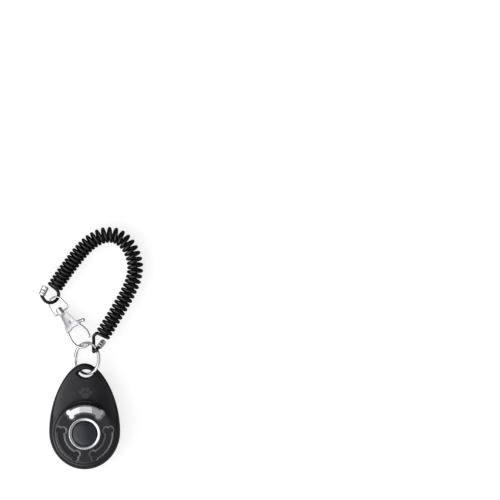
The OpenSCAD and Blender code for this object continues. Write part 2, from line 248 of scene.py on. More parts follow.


# %% The clicker's finishes
# The case's edge colour is also its painted highlight on the slots' rims and the paw pads' tops.
case_finish = plastic("case_abs", (0.007, 0.007, 0.009), (0.011, 0.010, 0.014), (0.105, 0.105, 0.115),
                      (0.20, 0.30), edge_mm=0.4)
button_finish = plastic("button_abs", (0.016, 0.019, 0.027), (0.022, 0.025, 0.034), (0.06, 0.07, 0.09),
                        (0.26, 0.34), grain=(8, 0.003))
cord_finish = plastic("cord_urethane", (0.002, 0.002, 0.0025), (0.004, 0.004, 0.0045), (0.01, 0.01, 0.01),
                      (0.10, 0.16), grain=(1.5, 0.003), edge_mm=0.1, specular=0.4)
bezel_finish = metal("bezel_plating", (0.80, 0.81, 0.83), (0.72, 0.73, 0.76), (0.10, 0.18), 0.15)
steel_finish = metal("spring_steel", (0.93, 0.93, 0.94), (0.84, 0.84, 0.86), (0.10, 0.18), 0.4, lines=6)
screw_finish = metal("zinc_screw", (0.56, 0.57, 0.59), (0.46, 0.47, 0.49), (0.25, 0.38), 0.4)
ring_finish = metal("ring_nickel", (0.82, 0.82, 0.82), (0.72, 0.72, 0.73), (0.07, 0.15), 0.3)
hook_finish = metal("hook_nickel", (0.84, 0.84, 0.85), (0.74, 0.74, 0.76), (0.08, 0.16), 0.2,
                    ripple=(0.8, 0.006))
ferrule_finish = metal("ferrule_tin", (0.94, 0.94, 0.95), (0.86, 0.86, 0.88), (0.22, 0.34), 0.4)
print("materials:", len(bpy.data.materials))

# %% [markdown]
# ## Helpers for pieces
# A piece is a bmesh in millimetres, as the CAD source is, and `finish_mesh` turns it
# into an object at the origin, in metres. It shades the surface smooth except over
# edges sharper than an angle, names the body that the piece rides on, and hides the
# CAD nodes it stands for.

# %% Finish a piece
def finish_mesh(name, bm, body, material, nodes=(), sharp=35):
    """Makes an object of a bmesh in millimetres, on a body, in place of CAD nodes."""
    bmesh.ops.remove_doubles(bm, verts=bm.verts, dist=1e-4)
    bmesh.ops.recalc_face_normals(bm, faces=bm.faces)
    bmesh.ops.scale(bm, vec=(MM, MM, MM), verts=bm.verts)
    for face in bm.faces:
        face.smooth = True
    for edge in bm.edges:
        edge.smooth = edge.calc_face_angle(0) < math.radians(sharp)
    open_edges = sum(len(edge.link_faces) != 2 for edge in bm.edges)
    mesh = bpy.data.meshes.new(name)
    bm.to_mesh(mesh)
    bm.free()
    mesh.materials.append(material)
    piece = bpy.data.objects.new(name, mesh)
    scene.collection.objects.link(piece)
    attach(piece, body)
    if nodes:
        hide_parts(*nodes)
    print(f"{name}: {len(mesh.polygons)} faces, {open_edges} open edges")
    return piece


def through_modifier(bm, kind, **settings):
    """Runs a bmesh through one modifier, and gives the result as a new bmesh."""
    mesh = bpy.data.meshes.new("work")
    bm.to_mesh(mesh)
    bm.free()
    work = bpy.data.objects.new("work", mesh)
    scene.collection.objects.link(work)
    modifier = work.modifiers.new("work", kind)
    for name, value in settings.items():
        setattr(modifier, name, value)
    result = bmesh.new()
    result.from_object(work, bpy.context.evaluated_depsgraph_get())
    bpy.data.objects.remove(work)
    bpy.data.meshes.remove(mesh)
    return result


def combine(bm, tool, operation):
    """Cuts a bmesh with another (DIFFERENCE), or keeps both (UNION) or their common part."""
    for solid in (bm, tool):
        bmesh.ops.recalc_face_normals(solid, faces=solid.faces)
    mesh = bpy.data.meshes.new("tool")
    tool.to_mesh(mesh)
    tool.free()
    cutter = bpy.data.objects.new("tool", mesh)
    scene.collection.objects.link(cutter)
    result = through_modifier(bm, "BOOLEAN", operation=operation, object=cutter, solver="EXACT")
    bpy.data.objects.remove(cutter)
    bpy.data.meshes.remove(mesh)
    bmesh.ops.remove_doubles(result, verts=result.verts, dist=2e-4)
    return result


# %% Lathe, skin and sweep
def lathe(profile, steps=128, angle=math.tau, at=(0, 0, 0)):
    """Spins a profile of (radius, height) points about a vertical axis into a solid."""
    bm = bmesh.new()
    verts = [bm.verts.new((r, 0, z)) for r, z in profile]
    # A profile whose two ends lie on the axis needs no closing edge
    ends_on_axis = max(profile[0][0], profile[-1][0]) < 1e-6
    edges = [bm.edges.new((a, b)) for a, b in zip(verts, verts[1:] + ([] if ends_on_axis else verts[:1]))]
    full = angle == math.tau
    geom = verts + edges
    if not full:
        geom.append(bm.faces.new(verts))
    bmesh.ops.spin(bm, geom=geom, cent=(0, 0, 0), axis=(0, 0, 1), angle=angle,
                   steps=steps, use_merge=full)
    bmesh.ops.remove_doubles(bm, verts=bm.verts, dist=1e-4)
    bmesh.ops.translate(bm, vec=at, verts=bm.verts)
    bmesh.ops.recalc_face_normals(bm, faces=bm.faces)
    return bm


def skin(rings, closed=False):
    """Bridges rings of points, each to the next, into a solid with flat ends."""
    bm = bmesh.new()
    loops = []
    for ring in rings:
        verts = [bm.verts.new(point) for point in ring]
        loops.append([bm.edges.new((a, b)) for a, b in zip(verts, verts[1:] + verts[:1])])
    for a, b in zip(loops, loops[1:] + (loops[:1] if closed else [])):
        bmesh.ops.bridge_loops(bm, edges=a + b)
    if not closed:
        for end in (loops[0], loops[-1]):
            bmesh.ops.contextual_create(bm, geom=end)
    bmesh.ops.recalc_face_normals(bm, faces=bm.faces)
    return bm


def smooth_path(points, per_step):
    """A Catmull-Rom curve through the points, with per_step pieces between each two."""
    points = [Vector(p) for p in points]
    path = []
    for i in range(len(points) - 1):
        a, b, c, d = (points[max(0, min(len(points) - 1, i + k))] for k in (-1, 0, 1, 2))
        for step in range(per_step):
            t = step / per_step
            path.append(0.5 * (2 * b + (c - a) * t + (2 * a - 5 * b + 4 * c - d) * t * t
                               + (3 * b - a - 3 * c + d) * t ** 3))
    return path + [points[-1]]


def circle_section(radius, sides=20):
    """A round section for a sweep."""
    return [(radius * math.cos(math.tau * k / sides), radius * math.sin(math.tau * k / sides))
            for k in range(sides)]


def sweep(path, section, up, swell=None):
    """Carries a section of (side, rise) points along a path. swell scales it at 0..1 of the way."""
    rings = []
    for i, point in enumerate(path):
        ahead = (path[min(i + 1, len(path) - 1)] - path[max(i - 1, 0)]).normalized()
        side = ahead.cross(Vector(up)).normalized()
        rise = side.cross(ahead)
        size = swell(i / (len(path) - 1)) if swell else 1
        rings.append([point + size * (a * side + b * rise) for a, b in section])
    return skin(rings)


def slab(outline, low, high):
    """A flat outline of (x, y) points, extruded from one height to another."""
    bm = bmesh.new()
    face = bm.faces.new([bm.verts.new((x, y, low)) for x, y in outline])
    raised = bmesh.ops.extrude_face_region(bm, geom=[face])["geom"]
    bmesh.ops.translate(bm, vec=(0, 0, high - low),
                        verts=[v for v in raised if isinstance(v, bmesh.types.BMVert)])
    bmesh.ops.recalc_face_normals(bm, faces=bm.faces)
    return bm


def round_edges(bm, width, segments=3, sharp=50):
    """Bevels every edge that is sharper than an angle."""
    edges = [edge for edge in bm.edges if edge.calc_face_angle(0) > math.radians(sharp)]
    bmesh.ops.bevel(bm, geom=edges, offset=width, segments=segments, profile=0.5, affect="EDGES",
                    clamp_overlap=True, material=-1)
    return bm


def pour(bm, *others):
    """Adds the meshes of other bmeshes to the first, as they are."""
    for other in others:
        mesh = bpy.data.meshes.new("work")
        other.to_mesh(mesh)
        other.free()
        bm.from_mesh(mesh)
        bpy.data.meshes.remove(mesh)
    return bm


def cast(bm, grain, smoothing):
    """Melts overlapping solids into one skin with small fillets, as a die casting has."""
    bm = through_modifier(bm, "REMESH", mode="VOXEL", voxel_size=grain, adaptivity=0)
    for _ in range(smoothing):
        bmesh.ops.smooth_vert(bm, verts=bm.verts, factor=0.5,
                              use_axis_x=True, use_axis_y=True, use_axis_z=True)
    return bm


# %% [markdown]
# ## The cord
# The strap is one piece of 2 mm cord: a loop, some forty turns, and a second loop. The
# loops' points repeat the CAD routes. The turns are a right-handed helix worked out
# along the coil's middle line. Where the coil bends, its turns fan open, so the pitch
# follows a few values along the length and isn't one number. A curve object with a
# round bevel is the simplest way to a tube: Blender keeps its section from twisting.

# %% Work out the cord's path
cord_width = 2.0
turn_radius = 3.97
coil_route = [(-18.5, 78.5), (-13.5, 86), (-8, 93.5), (-2, 101), (4.5, 107), (12, 110.5),
              (19.5, 110), (25.5, 105.5), (29.2, 99), (30.8, 91.5), (29.8, 84), (27.1, 77),
              (23.4, 70), (19.3, 63), (15, 56), (10.5, 49)]
bail_loop_route = [(-17.3, 77.2, 1.1), (-16.2, 75.2, 1.1), (-16.3, 73, 1.1), (-17.4, 71, 1.3),
                   (-19.4, 69.6, 3.1), (-21.8, 69.3, 4.7), (-24.1, 70.3, 4.8),
                   (-25.7, 72.4, 4.2), (-26.3, 74, 3.9), (-25, 76.8, 3.9)]
ring_loop_route = [(5.6, 49, 5.6), (5.5, 46.5, 6.2), (5.5, 44, 7),
                   (5.4, 41.8, 8), (5.4, 40.2, 9.7), (5.6, 39.5, 11.7), (6.2, 39.7, 13.5),
                   (7.4, 40.8, 14.5), (8.8, 42.2, 13.7), (10.2, 43.9, 12.2)]
pitches = [2.5, 2.5, 2.6, 3.3, 3.4, 3.2, 3.0, 2.9, 2.8]
points_per_turn = 28


def coil_points(route, start_angle, end_angle):
    """Helix points along a flat route, whose pitch follows the list of pitches."""
    middle = smooth_path([(x, y, turn_radius + cord_width / 2) for x, y in route], 40)
    lengths = [(b - a).length for a, b in zip(middle, middle[1:])]
    total = sum(lengths)
    turns, reach = [0], 0
    for length in lengths:
        at = min(reach / total, 0.9999) * (len(pitches) - 1)
        k = int(at)
        turns.append(turns[-1] + length / (pitches[k] + (pitches[k + 1] - pitches[k]) * (at - k)))
        reach += length
    share = (start_angle - end_angle) / math.tau
    turn_count = round(turns[-1] - share) + share
    count = int(turn_count * points_per_turn)
    points, i = [], 0
    for n in range(count + 1):
        want = n / count * turns[-1]
        while i < len(turns) - 2 and turns[i + 1] < want:
            i += 1
        centre = middle[i].lerp(middle[i + 1], (want - turns[i]) / (turns[i + 1] - turns[i]))
        ahead = (middle[min(i + 2, len(middle) - 1)] - middle[max(i - 1, 0)]).normalized()
        right = ahead.cross(Vector((0, 0, 1)))
        angle = start_angle - n / count * turn_count * math.tau
        points.append(centre + turn_radius * Vector((right.x * math.cos(angle),
                                                     right.y * math.cos(angle), math.sin(angle))))
    return points, turn_count


helix, coil_turns = coil_points(coil_route, math.radians(-115), math.radians(35))
loop_in = smooth_path(bail_loop_route[::-1] + [helix[0], helix[3]], 8)[:-8]
loop_out = smooth_path([helix[-4], helix[-1]] + ring_loop_route, 8)[8:]
cord_path = [point * MM for point in loop_in[:-1] + helix + loop_out[1:]]

# %% Draw the cord
cord_curve = bpy.data.curves.new("strap_cord", "CURVE")
cord_curve.dimensions = "3D"
cord_curve.bevel_depth = cord_width / 2 * MM
cord_curve.bevel_resolution = 5
cord_curve.use_fill_caps = True
spline = cord_curve.splines.new("POLY")
spline.points.add(len(cord_path) - 1)
for point, place in zip(spline.points, cord_path):
    point.co = (*place, 1)
spline.use_smooth = True
cord_curve.materials.append(cord_finish)
cord = bpy.data.objects.new("strap_cord", cord_curve)
scene.collection.objects.link(cord)
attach(cord, "strap")
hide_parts("cord_coil", "cord_loop_ring", "cord_loop_bail")
print("cord points:", len(cord_path))

# %% [markdown]
# ## Ferrules
# Each loop of cord ends in a crimped metal sleeve. It is a turned tube with a groove,
# and the crimping jaws have flattened its middle on two sides, so the lathe's shape is
# squeezed there with a smooth falloff.

# %% Make the ferrules
ferrule_length = 5.7


def ferrule(name, start, end, radius, node):
    """A crimped sleeve from a point towards another."""
    profile = [(cord_width / 2, 0), (radius - 0.3, 0), (radius - 0.2, 0.15),
               (radius - 0.05, 0.36), (radius, 0.5),
               (radius, 1.15), (radius - 0.07, 1.4), (radius - 0.25, 1.6), (radius - 0.25, 2.1),
               (radius - 0.07, 2.3), (radius, 2.55)]
    profile += [(radius, 2.55 + k * 0.3) for k in range(1, 9)] + [(radius - 0.04, ferrule_length - 0.38)]
    profile += [(radius - 0.2, ferrule_length - 0.19), (radius - 0.4, ferrule_length),
                (cord_width / 2, ferrule_length)]
    bm = lathe(profile, steps=64)
    for vert in bm.verts:
        if vert.co.xy.length > cord_width / 2 + 0.05:
            press = math.exp(-((vert.co.z - 3.7) / 0.8) ** 2)
            vert.co.y *= 1 - 0.2 * press
            vert.co.x *= 1 - 0.02 * press
    start, end = Vector(start), Vector(end)
    turn = (end - start).to_track_quat("Z", "Y").to_matrix().to_4x4()
    bmesh.ops.transform(bm, matrix=Matrix.Translation(start) @ turn, verts=bm.verts)
    return finish_mesh(name, bm, "strap", ferrule_finish, [node])


ring_ferrule = ferrule("ring_ferrule", ring_loop_route[-2], ring_loop_route[-1], 1.75, "ferrule_ring")
bail_ferrule = ferrule("bail_ferrule", bail_loop_route[-2], bail_loop_route[-1], 2.1, "ferrule_bail")

# %% [markdown]
# ## Split ring
# A split ring is one wire wound twice round. Its first turn lies flat, steps up over
# the wire's own end, and the second turn lies on the first. The step is what tells it
# from a plain ring, so the path rises smoothly over a short arc.

# %% Make the split ring
ring_centre = Vector((1.5, 35.35, 7.2))
ring_radius = 9.5
ring_place = Matrix.Translation(ring_centre) @ Matrix.Rotation(math.radians(-40), 4, "Y")
ring_half_turn = 0.43
wire_half_width = 0.7
wire_half_height = 0.4


def ring_path(start, length, rise_from, rise_to, step=4):
    """The ring's wire: angles in degrees, low at first and high after the step."""
    path = []
    for n in range(int(length / step) + 1):
        angle = n * length / int(length / step)
        t = max(0, min(1, (angle - rise_from) / (rise_to - rise_from)))
        height = ring_half_turn * (2 * t * t * (3 - 2 * t) - 1)
        turn = math.radians(start + angle)
        path.append(Vector((ring_radius * math.cos(turn), ring_radius * math.sin(turn), height)))
    return path


def rounded_section(half_width, half_height, corner, steps=4):
    """A rectangle with round corners, for a sweep."""
    points = []
    for k, (sx, sy) in enumerate(((1, 1), (-1, 1), (-1, -1), (1, -1))):
        for step in range(steps + 1):
            angle = math.pi / 2 * (k + step / steps)
            points.append((sx * (half_width - corner) + corner * math.cos(angle),
                           sy * (half_height - corner) + corner * math.sin(angle)))
    return points


bm = sweep(ring_path(-144, 682, 322, 356), rounded_section(wire_half_width, wire_half_height, 0.36),
           up=(0, 0, 1))
bmesh.ops.transform(bm, matrix=ring_place, verts=bm.verts)
finish_mesh("split_ring_wire", bm, "ring", ring_finish, ["split_ring"])

# %% [markdown]
# ## Swivel: bail, barrel and rivet
# The bail is a bent wire whose ends sit in the barrel. A sweep along a smooth curve
# through the CAD route's points gives its bends. The barrel and the rivet are turned
# parts, so both are lathed, then laid along the hook's own axis.

# %% Make the swivel
hook_place = (Matrix.Translation((-15.2, 64.3, 3.35)) @ Matrix.Rotation(math.radians(36), 4, "Z")
              @ Matrix.Rotation(math.radians(-4.6), 4, "X"))
along_hook = Matrix.Rotation(math.radians(-90), 4, "X")
bail_route = [(-1.4, -1.1), (-3.2, -1.2), (-4.2, -0.5), (-4.3, 1), (-4, 4.5), (-3.2, 7.2), (-1.4, 8.8),
              (0.8, 9.2), (3, 8.6), (4.5, 6.8), (5.1, 4), (5.5, 1), (5.4, -0.5), (4.4, -1.2), (1.4, -1.1)]
bm = sweep(smooth_path([(x, y, 0) for x, y in bail_route], 6), circle_section(0.5), up=(0, 0, 1))
bmesh.ops.transform(bm, matrix=hook_place, verts=bm.verts)
finish_mesh("bail_wire", bm, "strap", hook_finish, ["swivel_bail"])

bm = lathe([(0, -2.3), (1.35, -2.3), (1.68, -2.22), (1.86, -2.0), (1.9, -1.8), (1.9, 1.35), (1.86, 1.6),
            (1.66, 1.86), (1.35, 1.98), (0.9, 2.0), (0, 2.0)], steps=96)
bmesh.ops.transform(bm, matrix=hook_place @ along_hook, verts=bm.verts)
finish_mesh("barrel", bm, "strap", hook_finish, ["swivel_barrel"])

bm = lathe([(0, -4.95), (1.1, -4.95), (1.4, -4.7), (1.4, -4.4), (0.95, -4.35), (0.95, -1.6), (0, -1.6)],
           steps=64)
bmesh.ops.transform(bm, matrix=hook_place @ along_hook, verts=bm.verts)
finish_mesh("rivet", bm, "strap", hook_finish, ["swivel_rivet"])

# %% [markdown]
# ## Hook body
# The hook is a zinc die casting: a thick body with a fork for the gate, and an arm
# that curves round to a nose. Castings have no sharp edges, and their parts flow into
# each other. So the body is built from simple overlapping solids, two cheeks, a web
# and an arm, which a voxel remesh then melts into one skin.

# %% Make the hook body
cheek_outline = [(-1.6, -2.45), (2.7, -2.45), (3, -2.8), (3.6, -6), (4.3, -9.6), (5.2, -12.8), (5.2, -13.6),
                 (4.8, -13.9), (3.6, -13.6), (1.9, -13.2), (0.6, -13.1), (-0.6, -13.3), (-2.2, -14),
                 (-4.4, -13.6), (-3.9, -12.2), (-3.3, -10.4), (-1.9, -2.8)]
web_outline = [(-1.6, -2.45), (2.7, -2.45), (3, -2.8), (3.86, -7.25), (-0.85, -7.25), (-0.85, -13.4),
               (-2.2, -14), (-4.4, -13.6), (-3.9, -12.2), (-3.3, -10.4), (-1.9, -2.8)]
arm_route = [(-2.6, -10), (-3.2, -11.5), (-4.1, -14.6), (-4.9, -18.6), (-4.9, -21.2), (-4.2, -23.6),
             (-2.5, -25.7), (-0.1, -26.8), (2, -26.7), (3.3, -25.7)]
body_half = 2.1
slot_half = 1.02
pivot = Vector((1.4, -9.4, 0))


def nose_swell(t):
    """The arm is thick at its root, and a little fuller again at the nose."""
    return 1.0 + 0.22 * max(0, 1 - t / 0.2) + 0.1 * math.exp(-((t - 0.9) / 0.07) ** 2)


bm = bmesh.new()
for side in (-1, 1):
    cheek = slab(cheek_outline, side * slot_half, side * body_half)
    dimple = lathe([(0, 0), (1.0, 0), (1.15, 0.6), (0, 0.6)], steps=48,
                   at=(pivot.x, pivot.y, body_half - 0.25))
    if side < 0:
        bmesh.ops.mirror(dimple, geom=dimple.verts[:] + dimple.edges[:] + dimple.faces[:], axis="Z",
                         merge_dist=0)
    pour(bm, combine(cheek, dimple, "DIFFERENCE"))
web = slab(web_outline, -slot_half - 0.1, slot_half + 0.1)
arm = sweep(smooth_path([(x, y, 0) for x, y in arm_route], 8), circle_section(0.8, 24), up=(0, 0, 1),
            swell=nose_swell)
pour(bm, web, arm)
bm = cast(bm, 0.11, 4)
dish_depth, dish_share = 0.22, 0.85
for vert in bm.verts:
    x, y, z = vert.co
    if abs(z) > 1.5 and -13 < y < -2.9:
        across = (x - 0.5) / (2.3 + 0.22 * (-y - 2.8)) / dish_share
        ends = min(1, (y + 13) / 1.5, (-2.9 - y) / 1.0)
        if abs(across) < 1:
            vert.co.z -= math.copysign(dish_depth * ends * (1 - across ** 2), z)
bmesh.ops.transform(bm, matrix=hook_place, verts=bm.verts)
finish_mesh("hook_casting", bm, "hook", hook_finish, ["hook_body"], sharp=60)

# %% [markdown]
# ## Gate, pin and spring
# The gate swings inwards on a pin and springs back against the nose. Its thumb knob
# is a short stalk with a round end. Like the body it is cast, so its lever, hub and
# knob are melted together. The spring is a true helix of thin wire.

# %% Make the gate
gate_half = 0.95
lever_outline = [(-0.35, -9.4), (-0.35, -7.75), (1.4, -7.75), (3.1, -9), (4.6, -10.6), (5.8, -11.4),
                 (6, -13), (5.7, -14.2), (6.3, -16), (6.8, -17.8), (6.98, -19.2), (6.95, -20.5),
                 (6.4, -22.8), (5.5, -24.4), (4.5, -23.9), (5.1, -22), (5.3, -19.8), (5, -17.6),
                 (3.9, -14.2), (2.4, -11.4), (1, -11.1)]
bm = slab(lever_outline, -gate_half, gate_half)
round_edges(bm, 0.55, segments=3)
hub = lathe([(0, -gate_half), (1.75, -gate_half), (1.75, gate_half), (0, gate_half)], steps=48, at=pivot)
knob = lathe([(0, 0), (0.95, 0), (0.95, 2.4), (1.02, 2.75), (1.15, 3.2), (1.1, 3.6), (0.9, 3.95),
              (0.55, 4.22), (0, 4.33)], steps=48)
knob_place = (Matrix.Translation((5.2, -11.8, 0)) @ Matrix.Rotation(math.radians(-20), 4, "Z")
              @ Matrix.Rotation(math.radians(90), 4, "Y"))
bmesh.ops.transform(knob, matrix=knob_place, verts=knob.verts)
pour(bm, hub, knob)
bm = cast(bm, 0.09, 3)
bmesh.ops.transform(bm, matrix=hook_place, verts=bm.verts)
finish_mesh("gate_lever", bm, "gate", hook_finish, ["hook_gate"], sharp=60)

# %% Make the pin and the spring
pin_half = 1.85
bm = lathe([(0, -pin_half), (0.5, -pin_half), (0.6, -pin_half + 0.1), (0.6, pin_half - 0.1),
            (0.5, pin_half), (0, pin_half)], steps=48, at=pivot)
bmesh.ops.transform(bm, matrix=hook_place, verts=bm.verts)
finish_mesh("pivot_pin", bm, "hook", screw_finish, ["gate_pin"])

spring_turns = 4
spring_path = [Vector((0.1 + 0.55 * math.cos(math.tau * t / 24), -7.4 + 0.15 + 1.6 * t / (24 * spring_turns),
                       0.55 * math.sin(math.tau * t / 24))) for t in range(24 * spring_turns + 1)]
bm = sweep(spring_path, circle_section(0.15, 10), up=(0, 1, 0))
bmesh.ops.transform(bm, matrix=hook_place, verts=bm.verts)
finish_mesh("closing_spring", bm, "hook", steel_finish, ["gate_spring"])

# %% [markdown]
# ## The case's egg
# Both shells of the case are stacks of egg-shaped rings, bridged into a skin. The
# same formulas give the CAD its shape in coarse steps, and here they run in fine
# steps so that the gloss has no facets. The front flares up into the plateau round
# the button, and its upper end slopes down to the lanyard hole.

# %% Egg rings
egg_y = -9.5
parting = 7
dome_z = 12.9
axis = Vector((0.2, -10.5, 0))
wall = 1.7
ceiling = 13.7
top = 15.5
egg_steps = 160


def mix(a, b, t):
    """A value between two."""
    return a + (b - a) * t


def egg_ring(half_width, low, up, z):
    """One egg-shaped ring of points, with its widest line at egg_y."""
    points = []
    for k in range(egg_steps):
        c, s = math.cos(math.tau * k / egg_steps), math.sin(math.tau * k / egg_steps)
        points.append((half_width * c * (1 - 0.14 * s * s if s > 0 else 1),
                       egg_y + (up if s > 0 else low) * s, z))
    return points


def back_size(z):
    """Half-width, low and up reach of the back at a height."""
    t = max(z, 0) / parting
    s = math.sqrt(1 - (1 - t) ** 2)
    return mix(12, 21.7, s), mix(13.5, 23, s), mix(17, 41.8, min(t / 0.89, 1) ** 0.9)


def front_size(z):
    """Half-width, low and up reach of the front at a height."""
    t = min((z - parting) / (dome_z - parting), 1)
    s = 1 - math.sqrt(1 - t * t)
    c = ((1 - math.cos(math.pi * max(t - 0.11, 0) / 0.89)) / 2) ** 1.3
    return mix(21.7, 18.4, s), mix(23, 19.6, s), mix(41.8, 18.9, c)


def shrunk(size, by):
    """An egg's size, less a margin all round."""
    return [value - by for value in size]


def cavity_ring(size, z):
    """An inner ring a wall's thickness inside, which stops short of the lanyard hole."""
    half_width, low, up = shrunk(size, wall)
    return egg_ring(half_width, low, min(up, 28.5), z)


def lens_ring(scale, z):
    """The eye-shaped outline of the lanyard hole, two arcs that meet at its corners."""
    half_width, half_height = 4.6, 2.45
    radius = (half_width ** 2 + half_height ** 2) / (2 * half_height)
    reach = math.asin(half_width / radius)
    points = []
    for side in (1, -1):
        for k in range(24):
            angle = side * mix(reach, -reach, k / 24)
            points.append((0.8 + scale * radius * math.sin(angle),
                           26.15 + side * scale * (radius * math.cos(angle) - radius + half_height), z))
    return points


def lanyard_cutter():
    """The hole's flared solid, narrowest at the parting line."""
    levels = [-8, -6, -4, -2.5, -1.2, 0, 1.2, 2.5, 4, 6, 8]
    return skin([lens_ring(1 + 1.3 * abs(z) / 8, parting + z) for z in levels])


# %% [markdown]
# ## Slots round the button
# Three bone-shaped slots lie round the button. Each is an arc-shaped channel with a
# round lobe at each corner, and its mouth is bevelled. The channel is a section spun
# through 76 degrees, and each lobe is a lathe. Joined, they are the tool that cuts
# the shell, so the bevel runs all round.

# %% Slot cutters
slot_in, slot_out, slot_reach, lobe = 13, 16.5, 38, 1.65
bevel_slope = 0.45


def slot_cutter(direction, floor, grow=0, mouth=top, flare=1.05, roof=16):
    """The solid of one slot, clockwise by direction degrees from +Y round the button."""
    inner, outer, round_lobe = slot_in - grow, slot_out + grow, lobe + grow
    deep = mouth - flare * bevel_slope
    wide = (roof - deep) / bevel_slope
    section = [(inner, floor), (outer, floor), (outer, deep), (outer + wide, roof), (inner - wide, roof),
               (inner, deep)]
    lobe_section = [(0, floor), (round_lobe, floor), (round_lobe, deep), (round_lobe + wide, roof), (0, roof)]
    tool = lathe(section, steps=40, angle=math.radians(2 * slot_reach))
    turn = Matrix.Rotation(math.radians(90 - slot_reach), 4, "Z")
    bmesh.ops.transform(tool, matrix=turn, verts=tool.verts)
    for side in (-1, 1):
        for radius in (slot_in + 0.4, slot_out - 0.35):
            angle = math.radians(90 + side * slot_reach)
            place = (radius * math.cos(angle), radius * math.sin(angle), 0)
            tool = combine(tool, lathe(lobe_section, steps=40, at=place), "UNION")
    bmesh.ops.transform(tool, matrix=Matrix.Translation(axis)
                        @ Matrix.Rotation(math.radians(-direction), 4, "Z"),
                        verts=tool.verts)
    return tool


def boss_places():
    """Where the three case screws stand round the button."""
    for angle in (-65, 65, 180):
        turn = math.radians(90 - angle)
        yield (axis.x + 16 * math.cos(turn), axis.y + 16 * math.sin(turn), 0)


# %% [markdown]
# ## Front shell
# The front shell is the egg's upper half with the plateau standing on it. It is
# hollowed, then cut for the button, the bright ring, the slots and the lanyard hole.
# Boolean modifiers with the exact solver do the cuts, as a modeller would do them by
# hand. Ring lines close to each edge keep the gloss on the flat top from bending.

# %% Build the front shell
front_levels = [parting + (dome_z - parting) * (k / 30) ** 1.25 for k in range(31)]
bm = skin([egg_ring(*shrunk(front_size(parting), 0.18), parting), *(
    egg_ring(*front_size(max(z, parting + 0.12)), max(z, parting + 0.12)) for z in front_levels)])
edge_curve = [(16.6 + 2.6 * math.sin(t), 13.2 + 2.3 * math.cos(t))
              for t in (math.pi / 2 * k / 12 for k in range(12, -1, -1))]
plateau = lathe([(0, 10), (19.2, 10), (19.2, 12.6), *edge_curve, (16.3, top), (0, top)],
                steps=192, at=axis)
bm = combine(bm, plateau, "UNION")
cavity = skin([cavity_ring(front_size(z + wall), z) for z in (6.8, 7.5, 8.5, 9.5, 10.5, 11.3)])
bm = combine(bm, cavity, "DIFFERENCE")
bm = combine(bm, lathe([(0, 11.2), (17.2, 11.2), (17.2, ceiling), (0, ceiling)], at=axis), "DIFFERENCE")
bm = combine(bm, lathe([(8.8, 11), (10, 11), (10, ceiling + 0.1), (8.8, ceiling + 0.1)], at=axis), "UNION")
for place in boss_places():
    post = lathe([(0.95, parting), (2.3, parting), (2.3, ceiling + 0.1), (0.95, ceiling + 0.1)],
                 steps=48, at=place)
    bm = combine(bm, post, "UNION")
button_well = lathe([(0, 13), (7.5, 13), (7.5, top - 0.8), (9.74, top - 0.8), (9.74, top - 0.2), (9.95, 15.6),
                     (9.95, 17), (0, 17)], steps=128, at=axis)
bm = combine(bm, button_well, "DIFFERENCE")
bm = combine(bm, slot_cutter(0, ceiling - 1), "DIFFERENCE")
bm = combine(bm, slot_cutter(0, ceiling - 1, grow=0.8, mouth=14.6, flare=0, roof=14.6), "DIFFERENCE")
for direction in (-120, 120):
    bm = combine(bm, slot_cutter(direction, top - 1.2), "DIFFERENCE")
bm = combine(bm, lanyard_cutter(), "DIFFERENCE")

# %% Paint a highlight on the slots' rims and shade on their floors
painted_light_and_shade = bm.faces.layers.float.new("painted_light_and_shade")
rim_normal = math.cos(math.atan(bevel_slope))
rims = floors = 0
bm.normal_update()
for face in bm.faces:
    centre = face.calc_center_median()
    if not 11 < (centre.xy - axis.xy).length < 18.6:
        continue
    # The bevelled rims get +1, a painted highlight, and the slot floors get -1, painted shade.
    if centre.z > 15 and abs(face.normal.z - rim_normal) < 0.004:
        face[painted_light_and_shade] = 1
        rims += 1
    elif abs(centre.z - (top - 1.2)) < 0.05 and face.normal.z > 0.999:
        face[painted_light_and_shade] = -1
        floors += 1
print("slot faces marked: rims", rims, "floors", floors)

# %% [markdown]
# ## Paw print
# A low paw print marks the slope. Its pads are short round posts, cut to the slope's
# own shape raised by a quarter of a millimetre, so their tops follow the curve. Their
# tops are painted lighter, a painted highlight.

# %% Raise the paw print and paint a highlight on its pads' tops
paw_pads = [(0.6, 12.6, 2.3, 1.9), (-2.4, 14.6, 0.85, 1.15), (-0.6, 16.2, 0.9, 1.25), (1.8, 16.2, 0.9, 1.25),
            (3.6, 14.6, 0.85, 1.15)]
pad_rise = 0.28
pad_painted_highlight = 0.3
for x, y, wide, tall in paw_pads:
    pad = lathe([(0, 6), (1, 6), (1, 13), (0, 13)], steps=48)
    bmesh.ops.scale(pad, vec=(wide, tall, 1), verts=pad.verts)
    bmesh.ops.translate(pad, vec=(x, y, 0), verts=pad.verts)
    raised = skin([egg_ring(*front_size(z), z + pad_rise) for z in front_levels])
    bm = combine(bm, combine(pad, raised, "INTERSECT"), "UNION")
# Painted highlight: pad faces that face upwards are painted partway to the lighter edge colour.
painted_light_and_shade = bm.faces.layers.float["painted_light_and_shade"]
bm.normal_update()
for face in bm.faces:
    centre = face.calc_center_median()
    on_pad = any(((centre.x - x) / wide) ** 2 + ((centre.y - y) / tall) ** 2 < 1
                 for x, y, wide, tall in paw_pads)
    if on_pad and face.normal.z > 0.5:
        face[painted_light_and_shade] = pad_painted_highlight
finish_mesh("front_case", bm, "case", case_finish, ["front_shell"])

# %% [markdown]
# ## Back shell
# The back is a shallow bowl, deepest under the button, with a flat to rest on, three
# screw wells, and a pedestal for the click spring inside.

